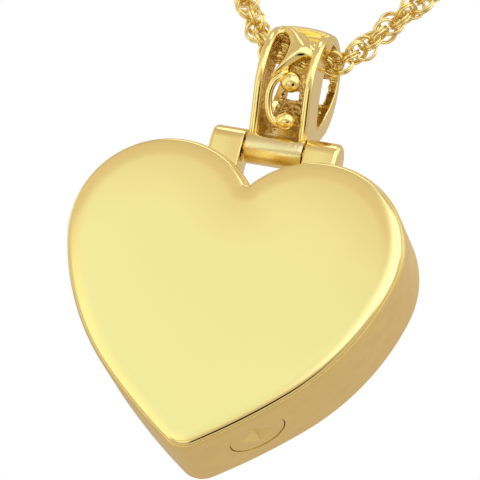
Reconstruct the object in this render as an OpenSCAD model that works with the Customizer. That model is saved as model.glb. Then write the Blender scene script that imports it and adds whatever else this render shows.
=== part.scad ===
// Heart keepsake pendant: a hollow gold heart on a hinged openwork bail, threaded on a rope chain.
// Millimetres, Z up, front faces -Y. The origin is the underside of the clasp, at the back of the neck.

/* [Heart case] */
// Width across the lobes
heart_width = 21.5; // [18:0.5:26]
// Radius of each lobe, percent of the width
lobe_percent = 28.1; // [26.5:0.1:30]
// Radius of the long curve of each side, percent of the width
side_percent = 74.8; // [70:0.1:82]
// Where a lobe turns into the side curve, degrees below its centre
side_start = 12.8; // [8:0.2:20]
// Where the side curve turns into the flatter lower curve, degrees
side_end = 47; // [42:0.2:50]
// Radius of the flatter lower curve down to the tip, percent of the width
low_percent = 190; // [150:0.5:240]
// Radius of the tip, percent of the width
tip_percent = 7.45; // [6:0.05:10]
// Thickness from the front face to the back face
case_depth = 6.8; // [6.4:0.05:8]
// Rounding of the front edge
front_edge = 1.05; // [0.8:0.05:1.2]
// Rounding of the back edge
back_edge = 0.6; // [0.3:0.05:0.8]
// Wall of the side band
band_wall = 0.65; // [0.55:0.05:1]
// Thickness of the front and back plates
plate_wall = 0.6; // [0.5:0.05:1]

/* [Filling port] */
// Diameter of the plug's flush head
plug_head = 3.65; // [3.2:0.05:4]
// Thickness of the plug's head
plug_head_depth = 0.7; // [0.5:0.05:1]
// Diameter of the plug's threaded shank
plug_shank = 2.7; // [2.2:0.05:2.9]
// Length of the plug from its face to its inner end
plug_length = 2.9; // [2.4:0.1:3.6]
// Side of the square key socket
socket_side = 1.5; // [1.1:0.05:1.6]
// Depth of the key socket
socket_depth = 0.55; // [0.3:0.05:1.2]
// Depth of the port's centre behind the front face
port_depth = 3.2; // [3:0.05:3.6]
// Where the port's centre lies on the lower curve, degrees
port_angle = 50.7; // [50:0.1:53]
// Wall of the boss round the port inside the case
boss_wall = 0.6; // [0.5:0.05:0.8]
// Gap round the plug
plug_gap = 0.04; // [0.03:0.01:0.08]

/* [Hinge] */
// Height of the hinge axis above the tops of the lobes
hinge_rise = 1.64; // [1.3:0.02:2.4]
// Depth of the hinge axis behind the front face
hinge_depth = 4.7; // [3.8:0.05:5]
// Depth of each lug, which is also its round top's diameter
lug_depth = 2.14; // [1.8:0.02:2.4]
// Width of each lug
lug_width = 2.15; // [1.6:0.05:2.6]
// Rounding of the lugs' outer edges
lug_edge = 0.25; // [0.1:0.05:0.4]
// Diameter of the hinge pin
pin_diameter = 0.9; // [0.7:0.05:1.1]
// Gap round the pin in the barrel
pin_gap = 0.05; // [0.03:0.01:0.08]
// Gap between each lug and the bail
side_gap = 0.12; // [0.08:0.01:0.2]
// Tilt at which the heart hangs in balance under its hinge, degrees
heart_tilt = 7; // [0:0.5:10]

/* [Bail] */
// Width of the bail across its rails
bail_width = 3.8; // [3.4:0.05:4.4]
// Diameter of the hinge barrel
barrel_diameter = 2.1; // [1.9:0.05:2.3]
// Radius of the loop
loop_radius = 3.35; // [3.2:0.05:3.6]
// Height of the loop's centre above the hinge
loop_height = 4.95; // [4.8:0.05:5.4]
// Half the width of the loop where its legs cross the hinge axis
leg_foot = 0.32; // [0.2:0.02:0.45]
// Thickness of the loop's shell
shell = 0.55; // [0.45:0.05:0.7]
// Radius of the wide end of the side opening
eye_radius = 1.95; // [1.85:0.05:2]
// Height of the wide end's centre above the hinge
eye_height = 5.9; // [5.7:0.05:6.1]
// Setback of the wide end's centre
eye_back = 0.35; // [0.1:0.05:0.45]
// Height of the narrow end of the side opening
eye_foot = 2.6; // [2.4:0.05:3]
// Width of each side plate and its rail
rail_width = 0.58; // [0.44:0.02:0.62]
// How far the round rails stand out of the loop
rail_rise = 0.14; // [0.08:0.02:0.2]
// How far the leaf and the scroll stand out of the loop
relief = 0.12; // [0.06:0.02:0.2]
// Width of the post between the two openings in the back strap
back_post = 1.1; // [0.8:0.1:1.4]
// Foot of the openings in the back strap above the hinge
back_window_foot = 5.3; // [4.8:0.1:5.8]
// Angle above the loop's centre at which the rails end under the crown
rail_end = 30; // [24:1:34]
// Radius of the scroll's upper ball
upper_ball = 0.6; // [0.5:0.02:0.62]
// Radius of the scroll's lower ball
lower_ball = 0.56; // [0.48:0.02:0.58]
// How deep the balls sit in the loop's face, percent of their radius
ball_sink = 45; // [30:1:60]

/* [Chain] */
// Outside diameter of the rope chain
chain_diameter = 1.8; // [1.5:0.05:1.85]
// Gap between the chain and the bail's crown
chain_gap = 0.1; // [0.05:0.05:0.2]
// Outside radius of the spring ring clasp
clasp_radius = 3.2; // [2.8:0.1:4]
// Thickness of the clasp's ring
clasp_wire = 1.3; // [1:0.05:1.6]
// Gap between the clasp and each end of the chain
clasp_gap = 0.15; // [0.1:0.05:0.3]
// Diameter of the clasp's thumb lever
lever_diameter = 0.8; // [0.5:0.1:1]
// Length of the thumb lever from the middle of the ring's wire
lever_length = 1.9; // [1.4:0.1:2.4]
// Lean of the thumb lever, degrees
lever_lean = 30; // [0:5:40]

/* [Hidden] */
$fn = 64;
slip = 0.01;   // small step that keeps rounded faces from only touching
rim_step = 0.02;   // the same between the rounded rims of the heart's curves
blend = 0.03;  // the same between the curves of the heart's outline
over = 1;      // how far cutters run past what they cut

// Right half of the chain's route from the bail to the back of the neck: x and the height above the bail
route = [
    [0, 0], [1, 0], [1.9, 0.05], [2.45, 0.3], [2.95, 0.85], [3.45, 1.5],
    [5, 3.7], [9, 9.4], [15, 18], [22, 28], [29, 38], [36, 48], [43, 58], [48, 65.1],
    [52.2, 71.1], [56.3, 77.7], [59.6, 84.9], [61.9, 92.4], [63.3, 100.1], [63.7, 107.9],
    [63.2, 115.7], [61.7, 123.4], [59.3, 130.9], [56, 138], [51.8, 144.8], [46.8, 150.9],
    [41.1, 156.4], [34.8, 161.1], [28, 164.9], [20.8, 167.9], [13.3, 170], [8, 170.9]
];
top_rise = 0.5;   // from the route's last point up to the ends of the chain at the clasp
route_top = route[len(route) - 1][1] + top_rise;

// The heart's outline: lobe, side curve, flatter lower curve and tip, in the plane of the front plate
lobe_radius = heart_width * lobe_percent / 100;
side_radius = heart_width * side_percent / 100;
low_radius = heart_width * low_percent / 100;
tip_radius = heart_width * tip_percent / 100;
lobe_x = heart_width / 2 - lobe_radius;
side_x = lobe_x - (side_radius - lobe_radius) * cos(side_start);
side_z = (side_radius - lobe_radius) * sin(side_start);
low_x = side_x - (low_radius - side_radius) * cos(side_end);
low_z = side_z + (low_radius - side_radius) * sin(side_end);
low_end = acos(-low_x / (low_radius - tip_radius));
tip_z = low_z - (low_radius - tip_radius) * sin(low_end);
band_low = low_radius - 2 * blend;
port_at = [low_x + band_low * cos(port_angle), low_z - band_low * sin(port_angle)];

// Hinge, bail and chain
hinge_height = lobe_radius + hinge_rise;
pin_radius = pin_diameter / 2;
half_bail = bail_width / 2;
lug_in = half_bail + side_gap;
half_barrel = half_bail - 3 * slip;
leg_lean = asin((loop_radius - leg_foot) / loop_height);
crown_foot = loop_height + (loop_radius + rail_rise) * sin(rail_end) + rail_width / 4;
eye_foot_radius = 0.3;
eye_foot_y = 0.7;
chain_radius = chain_diameter / 2;
// the chain rests under the crown: it keeps its gap to the shell and to the side openings
under_shell = loop_height + loop_radius - shell - chain_radius - chain_gap;
eye_room = eye_radius - chain_radius - chain_gap;
under_eye = eye_height + sqrt(pow(eye_room, 2) - pow(eye_back, 2));
hang_height = min(under_shell, under_eye);
hang_z = clasp_radius - route_top;
hinge_z = hang_z - hang_height;

// Half of the case's cross-section out to its rim; step makes the edges' roundings a little smaller
module profile(r, step) {
    front = front_edge - step;
    back = back_edge - step;
    translate([0, -case_depth]) difference() {
        square([r, case_depth]);
        difference() {
            translate([r - front, case_depth - front]) square(front + over);
            translate([r - front, case_depth - front]) circle(front);
        }
        difference() {
            translate([r - back, -over]) square(back + over);
            translate([r - back, back]) circle(back);
        }
    }
}

// A round disc of the case's thickness with the case's rim
module disc(x, z, r, step) {
    translate([x, z, 0]) rotate_extrude() profile(r, step);
}

// Two wide discs, mirrored left to right, where they overlap
module overlap(x, z, r, step) {
    intersection() {
        disc(x, z, r, step);
        disc(-x, z, r, step);
    }
}

// The regions that the two long curves bound, each the same to the left and the right
module both_sides(right) {
    polygon(concat(right, [for (i = [len(right) - 1:-1:0]) [-right[i][0], right[i][1]]]));
}
module curve_region() {
    far = 2 * heart_width;
    both_sides([
        [slip, lobe_x * tan(side_start)],
        [lobe_x + far * cos(side_start), -far * sin(side_start)],
        [lobe_x + far * cos(side_start), -far]
    ]);
}
module low_region() {
    far = 2 * heart_width;
    start_z = side_z + side_x * tan(side_end);
    both_sides([
        [slip, start_z],
        [far * cos(side_end), start_z - far * sin(side_end)],
        [far * cos(low_end), tip_z - far * sin(low_end)],
        [slip, tip_z]
    ]);
}

// Keeps the part of a block that lies inside a region
module keep() {
    intersection() {
        children(0);
        translate([0, 0, -case_depth - over]) linear_extrude(case_depth + 2 * over) children(1);
    }
}

// The heart as a solid block, front face up; neighbouring rims step their roundings
module heart_block() {
    for (x = [-1, 1]) disc(x * lobe_x, 0, lobe_radius + blend, 0);
    disc(0, tip_z, tip_radius + blend, 0);
    keep() {
        overlap(side_x, side_z, side_radius, rim_step);
        curve_region();
    }
    keep() {
        overlap(low_x, low_z, band_low, 2 * rim_step);
        low_region();
    }
}

// The chamber inside, with flat walls
module chamber() {
    translate([0, 0, -case_depth + plate_wall]) linear_extrude(case_depth - 2 * plate_wall) {
        for (x = [-1, 1]) translate([x * lobe_x, 0]) circle(lobe_radius + blend - band_wall);
        translate([0, tip_z]) circle(tip_radius + blend - band_wall);
        intersection() {
            translate([side_x, side_z]) circle(side_radius - band_wall);
            translate([-side_x, side_z]) circle(side_radius - band_wall);
            curve_region();
        }
        intersection() {
            translate([low_x, low_z]) circle(band_low - band_wall);
            translate([-low_x, low_z]) circle(band_low - band_wall);
            low_region();
        }
    }
}

module upright() {
    rotate([90, 0, 0]) children();
}

// Turns things drawn along +Z, with their face at 0, into the port in the lower right side
module at_port() {
    translate([port_at[0], port_depth, port_at[1]]) rotate([0, 90 + port_angle, 0]) children();
}

module lug() {
    half = lug_depth / 2;
    foot = hinge_height - sqrt(pow(lobe_radius, 2) - pow(lobe_x - lug_in, 2)) + band_wall / 2;
    translate([lug_in, hinge_depth, hinge_height]) {
        rotate([0, 90, 0]) rotate([0, 0, 90]) rotate_extrude(angle = 180) lug_section(half);
        translate([0, 0, -foot]) linear_extrude(foot) {
            mirror([1, 0, 0]) rotate([0, 0, 90]) lug_section(half);
            rotate([0, 0, -90]) lug_section(half);
        }
    }
}

// Half of a lug's plan: rounded at its outer end only
module lug_section(half) {
    difference() {
        square([half, lug_width]);
        difference() {
            translate([half - lug_edge, lug_width - lug_edge]) square(lug_edge + over);
            translate([half - lug_edge, lug_width - lug_edge]) circle(lug_edge);
        }
    }
}

module heart_case_local() {
    boss_radius = plug_shank / 2 + plug_gap + boss_wall;
    difference() {
        union() {
            difference() {
                union() {
                    upright() heart_block();
                    lug();
                    mirror([1, 0, 0]) lug();
                    // hinge pin, soldered into both lugs
                    translate([-lug_in - lug_width / 2, hinge_depth, hinge_height]) rotate([0, 90, 0])
                        cylinder(r = pin_radius, h = 2 * lug_in + lug_width);
                }
                upright() chamber();
            }
            // boss that holds the plug's thread
            intersection() {
                upright() translate([0, 0, -case_depth + plate_wall / 2])
                    linear_extrude(case_depth - plate_wall) square(3 * heart_width, center = true);
                at_port() translate([0, 0, -plug_length])
                    cylinder(r = boss_radius, h = plug_length - band_wall / 2);
            }
        }
        // the port: seat of the head, then the bore through to the chamber
        at_port() translate([0, 0, -plug_head_depth - plug_gap])
            cylinder(r = plug_head / 2 + plug_gap, h = plug_head_depth + plug_gap + over);
        at_port() translate([0, 0, -plug_length - over])
            cylinder(r = plug_shank / 2 + plug_gap, h = plug_length + 2 * over);
    }
}

module hang_heart() {
    translate([0, 0, hinge_z]) rotate([heart_tilt, 0, 0])
        translate([0, -hinge_depth, -hinge_height]) children();
}

module heart_case() {
    color([0.83, 0.66, 0.3]) hang_heart() heart_case_local();
}

module port_plug() {
    color([0.88, 0.72, 0.36]) hang_heart() at_port() difference() {
        union() {
            translate([0, 0, -plug_head_depth]) cylinder(d = plug_head, h = plug_head_depth);
            translate([0, 0, -plug_length]) cylinder(d = plug_shank, h = plug_length - plug_head_depth / 2);
        }
        rotate([0, 0, 45]) translate([-socket_side / 2, -socket_side / 2, -socket_depth])
            cube([socket_side, socket_side, socket_depth + over]);
    }
}

// Draws a side view, y to the right and z up, and gives it a width along X from x0
module side_view(x0, width) {
    translate([x0, 0, 0]) rotate([90, 0, 90]) linear_extrude(width) children();
}

// Draws a front view, x to the right and z up, and cuts or keeps it from y0 to y1
module front_view(y0, y1) {
    translate([0, y1, 0]) rotate([90, 0, 0]) linear_extrude(y1 - y0) children();
}

// Teardrop: a circle and the two lines that close it on a smaller circle, or on a point
module teardrop(top, r, foot, foot_r) {
    d = norm(top - foot);
    u = (top - foot) / d;
    s = (r - slip - foot_r) / d;
    k = sqrt(1 - s * s);
    n1 = [-s * u[0] - k * u[1], -s * u[1] + k * u[0]];
    n2 = [-s * u[0] + k * u[1], -s * u[1] - k * u[0]];
    translate(top) circle(r);
    if (foot_r > 0) {
        polygon([top + (r - slip) * n1, foot + foot_r * n1, foot + foot_r * n2, top + (r - slip) * n2]);
    } else {
        polygon([top + (r - slip) * n1, foot - foot_r / s * u, top + (r - slip) * n2]);
    }
}

module loop_outline(grow = 0) {
    teardrop([0, loop_height], loop_radius + grow, [0, 0], leg_foot + grow);
}

module loop_inside() {
    teardrop([0, loop_height], loop_radius - shell, [0, 0], leg_foot - shell);
}

module side_opening() {
    teardrop([eye_back, eye_height], eye_radius, [eye_foot_y, eye_foot], eye_foot_radius);
    translate([eye_foot_y, eye_foot]) circle(eye_foot_radius + slip);
}

// Front pattern, x and height above the hinge, as shares of the bail's half width and of the loop's height
module leaf() {
    polygon([for (p = leaf_points) [p[0] * half_bail, p[1] * loop_height]]);
}
module scroll() {
    polygon([for (p = scroll_points) [p[0] * half_bail, p[1] * loop_height]]);
}
module arch() {
    polygon([for (p = arch_points) [p[0] * half_bail, p[1] * loop_height]]);
}
leaf_points = [
    [-0.62, 1.4], [-0.5, 1.37], [-0.36, 1.33], [-0.28, 1.28], [-0.2, 1.2], [-0.18, 1.1], [-0.19, 1.02],
    [-0.24, 0.93], [-0.31, 0.83], [-0.4, 0.74], [-0.5, 0.67], [-0.42, 0.66], [-0.28, 0.7], [-0.12, 0.76],
    [0.04, 0.83], [0.18, 0.9], [0.32, 0.97], [0.46, 1.01], [0.62, 1.05], [0.72, 1.08], [0.74, 1.14],
    [0.62, 1.19], [0.45, 1.26], [0.22, 1.36], [0, 1.43], [-0.3, 1.46]
];
scroll_points = [
    [-0.42, 0.69], [-0.5, 0.64], [-0.54, 0.57], [-0.54, 0.47], [-0.49, 0.38], [-0.4, 0.31], [-0.26, 0.24],
    [-0.06, 0.18], [0.2, 0.16], [0.28, 0.26], [0.1, 0.3], [-0.08, 0.3], [-0.19, 0.33], [-0.27, 0.39],
    [-0.32, 0.47], [-0.33, 0.55], [-0.27, 0.6], [-0.16, 0.65], [0.1, 0.7], [0.1, 0.8], [-0.1, 0.79],
    [-0.28, 0.74]
];
arch_points = [
    [-0.85, 1.42], [-0.55, 1.45], [-0.2, 1.44], [0.12, 1.38], [0.4, 1.27], [0.6, 1.18], [0.78, 1.12],
    [0.8, 1.24], [0.62, 1.34], [0.4, 1.45], [0.15, 1.53], [-0.3, 1.58], [-0.85, 1.55]
];
upper_ball_at = [0.24, 0.7];
lower_ball_at = [0.28, 0.31];

// Depth of the loop's front face at a height above the hinge
function face_y(z) = let (s = sin(leg_lean), k = cos(leg_lean))
    z > loop_height - loop_radius * s
        ? -sqrt(pow(loop_radius, 2) - pow(z - loop_height, 2)) : -(leg_foot + z * s) / k;

// A ball at the end of the scroll, sunk a little into the loop's face
module ball(at, r) {
    z = at[1] * loop_height;
    translate([at[0] * half_bail, face_y(z) + r * ball_sink / 100, z]) sphere(r);
}

// A round rail on each side plate: down the leg, round the front, and a round end under the crown
module rails() {
    tube = rail_width / 2;
    ring = loop_radius + rail_rise - tube;
    straight = loop_height * cos(leg_lean) - barrel_diameter / 4;
    for (side = [-1, 1]) translate([side * (half_bail - tube - slip), 0, loop_height]) {
        rotate([0, 90, 0]) rotate([0, 0, -90 - rail_end]) rotate_extrude(angle = rail_end + leg_lean)
            translate([ring, 0]) circle(tube, $fn = 32);
        rotate([180 + leg_lean, 0, 0]) translate([0, ring, -slip])
            cylinder(r = tube - slip, h = straight + slip, $fn = 32);
        rotate([-rail_end, 0, 0]) translate([0, -ring, 0]) sphere(tube + slip, $fn = 32);
    }
}

module bail_local() {
    difference() {
        union() {
            // side plates
            for (x0 = [-half_bail, half_bail - rail_width]) side_view(x0, rail_width) difference() {
                loop_outline();
                side_opening();
            }
            // raised leaf, scroll and arch on the front
            intersection() {
                side_view(-half_bail + rail_width / 2, bail_width - rail_width) difference() {
                    loop_outline(relief);
                    loop_inside();
                }
                front_view(-loop_radius - over, 0) {
                    leaf();
                    scroll();
                    arch();
                }
            }
            ball(upper_ball_at, upper_ball);
            ball(lower_ball_at, lower_ball);
            // crown over the top, and the back strap down to the barrel
            intersection() {
                side_view(-half_bail, bail_width) difference() {
                    loop_outline(relief);
                    loop_inside();
                }
                translate([-half_bail - over, -loop_radius - over, crown_foot])
                    cube([bail_width + 2 * over, 2 * loop_radius + 2 * over, loop_radius]);
            }
            intersection() {
                side_view(-half_bail + rail_width / 2, bail_width - rail_width) difference() {
                    loop_outline();
                    loop_inside();
                }
                difference() {
                    translate([-half_bail, 0, 0]) cube([bail_width, loop_radius + over, crown_foot + slip]);
                    for (side = [0, 1]) mirror([side, 0, 0])
                        translate([back_post / 2, 0, back_window_foot]) cube([
                            half_bail - rail_width - back_post / 2, loop_radius + 2 * over,
                            crown_foot + over - back_window_foot
                        ]);
                }
            }
            rails();
            rotate([0, 90, 0]) translate([0, 0, -half_barrel])
                cylinder(d = barrel_diameter, h = 2 * half_barrel);
        }
        rotate([0, 90, 0]) translate([0, 0, -half_bail - over])
            cylinder(r = pin_radius + pin_gap, h = bail_width + 2 * over);
    }
}

module bail() {
    color([0.86, 0.7, 0.34]) translate([0, 0, hinge_z]) bail_local();
}

function sweep_dir(p, i) = let (a = p[max(i - 1, 0)], b = p[min(i + 1, len(p) - 1)]) (b - a) / norm(b - a);

module chain() {
    right = concat(route, [[clasp_radius + clasp_gap, route_top]]);
    n = len(right);
    path = concat([for (i = [n - 1:-1:1]) [-right[i][0], right[i][1]]], right);
    sides = 8;
    m = len(path);
    points = [for (i = [0:m - 1]) let (t = sweep_dir(path, i), up = [-t[1], t[0]])
        for (k = [0:sides - 1]) let (a = 360 * (k + 0.5) / sides)
            [path[i][0] + chain_radius * cos(a) * up[0], chain_radius * sin(a),
             hang_z + path[i][1] + chain_radius * cos(a) * up[1]]];
    faces = concat(
        [[for (k = [sides - 1:-1:0]) k]],
        [for (i = [0:m - 2]) for (k = [0:sides - 1])
            [i * sides + k, i * sides + (k + 1) % sides,
             (i + 1) * sides + (k + 1) % sides, (i + 1) * sides + k]],
        [[for (k = [0:sides - 1]) (m - 1) * sides + k]]
    );
    color([0.9, 0.75, 0.4]) polyhedron(points, faces);
}

module clasp() {
    wire = clasp_wire / 2;
    color([0.86, 0.7, 0.34]) translate([0, 0, clasp_radius]) {
        rotate([90, 0, 0]) rotate_extrude() translate([clasp_radius - wire, 0]) circle(wire, $fn = 32);
        // the thumb lever of the spring
        translate([0, 0, clasp_radius - wire]) rotate([0, lever_lean, 0])
            cylinder(d = lever_diameter, h = lever_length, $fn = 24);
    }
}

chain();
clasp();
bail();
heart_case();
port_plug();
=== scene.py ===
# %% [markdown]
# A gold keepsake heart on its chain, dressed over a CAD model.
# The solids were made in millimetres and packed in metres. This lesson loads them as a fixed frame,
# then rebuilds what the eye judges: the polished heart, the cast bail and the links of the chain.

# %% Load the solids
import math

import bmesh
import bpy
import numpy as np
from mathutils import Matrix, Vector, noise


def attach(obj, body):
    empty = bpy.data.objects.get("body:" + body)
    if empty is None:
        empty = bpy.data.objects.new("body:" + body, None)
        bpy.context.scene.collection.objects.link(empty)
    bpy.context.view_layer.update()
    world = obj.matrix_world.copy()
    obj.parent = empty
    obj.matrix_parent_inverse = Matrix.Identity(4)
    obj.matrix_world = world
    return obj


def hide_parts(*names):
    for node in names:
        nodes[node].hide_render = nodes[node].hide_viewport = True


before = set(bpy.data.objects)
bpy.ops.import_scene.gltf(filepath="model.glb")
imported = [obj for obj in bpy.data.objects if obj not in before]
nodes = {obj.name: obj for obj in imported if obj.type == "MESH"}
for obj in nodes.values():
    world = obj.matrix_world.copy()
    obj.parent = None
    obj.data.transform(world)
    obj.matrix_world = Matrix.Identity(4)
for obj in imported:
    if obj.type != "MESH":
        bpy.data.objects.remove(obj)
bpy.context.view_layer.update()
MM = 0.001
print("solids:", sorted(nodes))

# %% [markdown]
# The sizes below are the solids' own, in millimetres. The heart hangs from a pin across the two lugs.
# It leans back by 7 degrees, because its weight settles straight under that pin.

# %% Sizes shared with the solids
HEART_WIDTH = 21.5
LOBE_R, SIDE_R, LOW_R, TIP_R = (HEART_WIDTH * share for share in (0.281, 0.748, 1.9, 0.0745))
SIDE_START, SIDE_END, PORT_ANGLE = math.radians(12.8), math.radians(47), math.radians(50.7)
LOBE_X = HEART_WIDTH / 2 - LOBE_R
SIDE_X = LOBE_X - (SIDE_R - LOBE_R) * math.cos(SIDE_START)
SIDE_Z = (SIDE_R - LOBE_R) * math.sin(SIDE_START)
LOW_X = SIDE_X - (LOW_R - SIDE_R) * math.cos(SIDE_END)
LOW_Z = SIDE_Z + (LOW_R - SIDE_R) * math.sin(SIDE_END)
CASE_DEPTH, FRONT_EDGE, BACK_EDGE, BAND_WALL, PLATE_WALL = 6.8, 1.05, 0.6, 0.65, 0.6
HINGE_DEPTH, HINGE_HEIGHT, HINGE_Z, TILT = 4.7, LOBE_R + 1.64, -174.95, math.radians(7)
HANG_Z, SEAM_PLANE = -168.2, 0.44
case_place = (
    Matrix.Scale(MM, 4) @ Matrix.Translation((0, 0, HINGE_Z)) @ Matrix.Rotation(TILT, 4, "X")
    @ Matrix.Translation((0, -HINGE_DEPTH, -HINGE_HEIGHT))
)
bail_place = Matrix.Scale(MM, 4) @ Matrix.Translation((0, 0, HINGE_Z))

# %% [markdown]
# The photographer stood a little to the right, looked up at the heart and turned the camera.
# The camera is described by its angles, its distance and how many pixels a millimetre takes.

# %% The camera
PICTURE, SENSOR = 480, 36
AZIMUTH, ELEVATION, ROLL = math.radians(15.991), math.radians(-18.261), math.radians(14.941)
PX_PER_MM, DISTANCE, MIDDLE = 16.29, 285.7, (233.95, 238.98)
back = Vector((
    math.sin(AZIMUTH) * math.cos(ELEVATION), -math.cos(AZIMUTH) * math.cos(ELEVATION), math.sin(ELEVATION)
))
level = Vector((math.cos(AZIMUTH), math.sin(AZIMUTH), 0))
upright = back.cross(level)
across = level * math.cos(ROLL) + upright * math.sin(ROLL)
above = -level * math.sin(ROLL) + upright * math.cos(ROLL)
lean = Matrix.Rotation(TILT, 3, "X")
aim = Vector((0, 0, HINGE_Z)) + lean @ Vector((0, SEAM_PLANE - HINGE_DEPTH, -HINGE_HEIGHT))
camera = bpy.data.objects.new("camera", bpy.data.cameras.new("camera"))
bpy.context.scene.collection.objects.link(camera)
stand = Matrix((lean @ across, lean @ above, lean @ back)).transposed().to_4x4()
stand.translation = (aim + lean @ back * DISTANCE) * MM
camera.matrix_world = stand
camera.data.sensor_width = SENSOR
camera.data.lens = PX_PER_MM * DISTANCE * SENSOR / PICTURE
camera.data.shift_x = (PICTURE / 2 - MIDDLE[0]) / PICTURE
camera.data.shift_y = (MIDDLE[1] - PICTURE / 2) / PICTURE
camera.data.clip_start, camera.data.clip_end = 0.01, 20
bpy.context.scene.camera = camera
print("lens", round(camera.data.lens, 1), "mm")

# %% [markdown]
# Polished gold shows the room more than itself, so the light is a room of soft light and darker gaps.
# The sky shader below is such a room: a bright ceiling and front, and a dim band low on one side.

# %% Small helpers for colours and nodes


def linear(code):
    """An sRGB hex colour as linear RGBA."""
    parts = [int(code[i:i + 2], 16) / 255 for i in (1, 3, 5)]
    return [c / 12.92 if c <= 0.04045 else ((c + 0.055) / 1.055) ** 2.4 for c in parts] + [1]


def add(tree, kind, links=(), **values):
    """Adds a node. links gives (input, socket) pairs; values set sockets or properties by name."""
    made = tree.nodes.new(kind)
    for name, value in values.items():
        if hasattr(made, name):
            setattr(made, name, value)
        else:
            made.inputs[name.replace("_", " ")].default_value = value
    for place, source in links:
        tree.links.new(source, made.inputs[place])
    return made


# %% The room of light
bpy.context.scene.view_settings.view_transform = "Standard"
world = bpy.data.worlds.new("studio")
bpy.context.scene.world = world
world.use_nodes = True
sky = world.node_tree
sky.nodes.clear()


def window_group():
    """A node group: how much of a soft rectangular window lies in the direction that a ray takes."""
    tree = bpy.data.node_groups.new("soft_window", "ShaderNodeTree")
    names = ("Turn", "Height", "Half turn", "Half height", "Slant", "Softness")
    for name in ("Azimuth", "Elevation", *names):
        tree.interface.new_socket(name, in_out="INPUT", socket_type="NodeSocketFloat")
    tree.interface.new_socket("Share", in_out="OUTPUT", socket_type="NodeSocketFloat")
    given = add(tree, "NodeGroupInput").outputs

    def sum_of(a, b, way="ADD"):
        return add(tree, "ShaderNodeMath", [(0, a), (1, b)], operation=way).outputs[0]

    turn = sum_of(given["Azimuth"], given["Turn"], "SUBTRACT")
    rise = sum_of(given["Elevation"], given["Height"], "SUBTRACT")
    cosine = add(tree, "ShaderNodeMath", [(0, given["Slant"])], operation="COSINE").outputs[0]
    sine = add(tree, "ShaderNodeMath", [(0, given["Slant"])], operation="SINE").outputs[0]
    along = sum_of(sum_of(turn, cosine, "MULTIPLY"), sum_of(rise, sine, "MULTIPLY"))
    aside = sum_of(sum_of(rise, cosine, "MULTIPLY"), sum_of(turn, sine, "MULTIPLY"), "SUBTRACT")
    shares = []
    for way, half in ((along, given["Half turn"]), (aside, given["Half height"])):
        away = add(tree, "ShaderNodeMath", [(0, way)], operation="ABSOLUTE").outputs[0]
        shares.append(add(tree, "ShaderNodeMapRange", [
            ("Value", away), ("From Min", sum_of(half, given["Softness"])),
            ("From Max", sum_of(half, given["Softness"], "SUBTRACT"))
        ], interpolation_type="SMOOTHSTEP").outputs[0])
    add(tree, "NodeGroupOutput", [(0, sum_of(*shares, "MULTIPLY"))])
    return tree


# each window: turn and height of its middle, half its turn and height, slant, softness, colour, strength;
# angles in degrees, the turn counted from straight ahead to the viewer's right
WINDOWS = [
    (-50, 6, 62, 26, 0, 14, "#FFEFDC", 0.81),
    (-55, -16, 48, 15, 20, 8, "#FBFFE8", 1.2),
    (-14, 2, 16, 11, -12, 8, "#F2FCF4", 1.06),
    (-8, -43, 24, 11, 0, 6, "#FBFFE8", 1.2),
    (46, 18, 44, 24, 0, 5, "#F6FBFF", 1.5),
    (84, 42, 42, 15, 0, 5, "#F6FBFF", 1.5),
    (-20, 72, 60, 8, 0, 3, "#FFFFFF", 1.9),
    (-136, 24, 16, 6, 0, 4, "#FFFFFF", 1.3),
    (67, -52, 32, 15, -39, 4, "#1A120A", 0.1),
]
ROOM_COLOUR, ROOM_STRENGTH = "#FFEFDC", 0.66
ray = add(sky, "ShaderNodeTexCoord")
parts = add(sky, "ShaderNodeSeparateXYZ", [(0, ray.outputs["Generated"])]).outputs
toward = add(sky, "ShaderNodeMath", [(0, parts["Y"])], operation="MULTIPLY")
toward.inputs[1].default_value = -1.0
azimuth = add(sky, "ShaderNodeMath", [(0, parts["X"]), (1, toward.outputs[0])], operation="ARCTAN2").outputs[0]
elevation = add(sky, "ShaderNodeMath", [(0, parts["Z"])], operation="ARCSINE").outputs[0]
soft_window = window_group()


def dimmed(code, strength):
    """A colour times its strength, still with an alpha of one."""
    return [c * strength for c in linear(code)[:3]] + [1]


shade = dimmed(ROOM_COLOUR, ROOM_STRENGTH)
for *angles, colour, strength in WINDOWS:
    share = add(sky, "ShaderNodeGroup", node_tree=soft_window)
    for place, source in ((0, azimuth), (1, elevation)):
        sky.links.new(source, share.inputs[place])
    for place, angle in enumerate(angles, 2):
        share.inputs[place].default_value = math.radians(angle)
    lit = add(sky, "ShaderNodeMix", [(0, share.outputs[0])], data_type="RGBA")
    if isinstance(shade, list):
        lit.inputs[6].default_value = shade
    else:
        sky.links.new(shade, lit.inputs[6])
    lit.inputs[7].default_value = dimmed(colour, strength)
    shade = lit.outputs[2]
seen = add(sky, "ShaderNodeLightPath").outputs["Is Camera Ray"]
backdrop = add(sky, "ShaderNodeMix", [(0, seen), (6, shade)], data_type="RGBA")
backdrop.inputs[7].default_value = linear("#FFFFFF")
light = add(sky, "ShaderNodeBackground", [(0, backdrop.outputs[2])], Strength=1.0)
add(sky, "ShaderNodeOutputWorld", [(0, light.outputs[0])])
print("windows:", len(WINDOWS))

# %% [markdown]
# A pale floor lies below the necklace, as in a photographer's bay.

# %% The floor
bpy.ops.mesh.primitive_plane_add(size=3, location=(0, 0, -0.36))
floor = bpy.context.object
floor.name = "floor"
paper = bpy.data.materials.new("matt white paper")
paper.use_nodes = True
paper.node_tree.nodes["Principled BSDF"].inputs["Base Color"].default_value = linear("#F7F7F7")
paper.node_tree.nodes["Principled BSDF"].inputs["Roughness"].default_value = 0.9
floor.data.materials.append(paper)
floor.visible_glossy = False
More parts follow.
